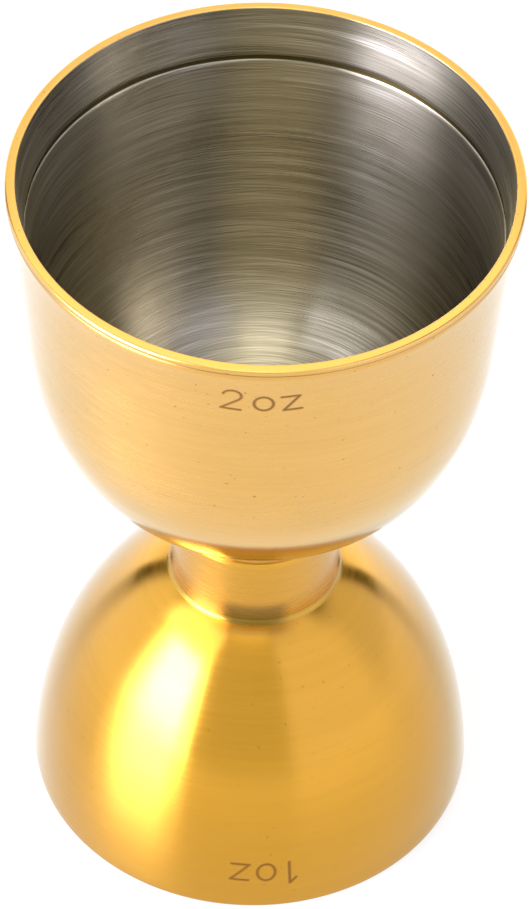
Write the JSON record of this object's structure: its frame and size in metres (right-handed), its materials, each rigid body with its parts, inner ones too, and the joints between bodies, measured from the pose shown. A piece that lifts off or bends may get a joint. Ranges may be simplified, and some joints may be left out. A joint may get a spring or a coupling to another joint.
{
  "type": "bar jigger",
  "caption": "Double-ended bar jigger: a deep flared measuring cup above a smaller bell cup, joined by a short welded neck",
  "frame": {"origin": "centre of the small cup's mouth, on the surface that the jigger stands on with its large cup up", "axes": "+Z runs from the small cup's mouth to the large cup's rim, along the axis of revolution; the capacity marks face -Y"},
  "size_m": [0.052, 0.052, 0.086],
  "materials": {
    "brushed_gold": "stainless steel, gold-plated outside with fine brush lines round the cup; the inside is bare brushed steel",
    "polished_gold": "stainless steel, softly polished gold plating outside; the inside is bare brushed steel",
    "neck_gold": "gold-plated stainless steel, turned and lightly brushed round the neck",
    "weld_gold": "dressed weld under the gold plating, slightly duller and darker than the cups"
  },
  "bodies": {
    "root": {"large_cup": "brushed_gold", "small_cup": "polished_gold", "waist_collar": "neck_gold", "cup_boss": "neck_gold", "upper_weld": "weld_gold", "lower_weld": "weld_gold"}
  },
  "joints": []
}
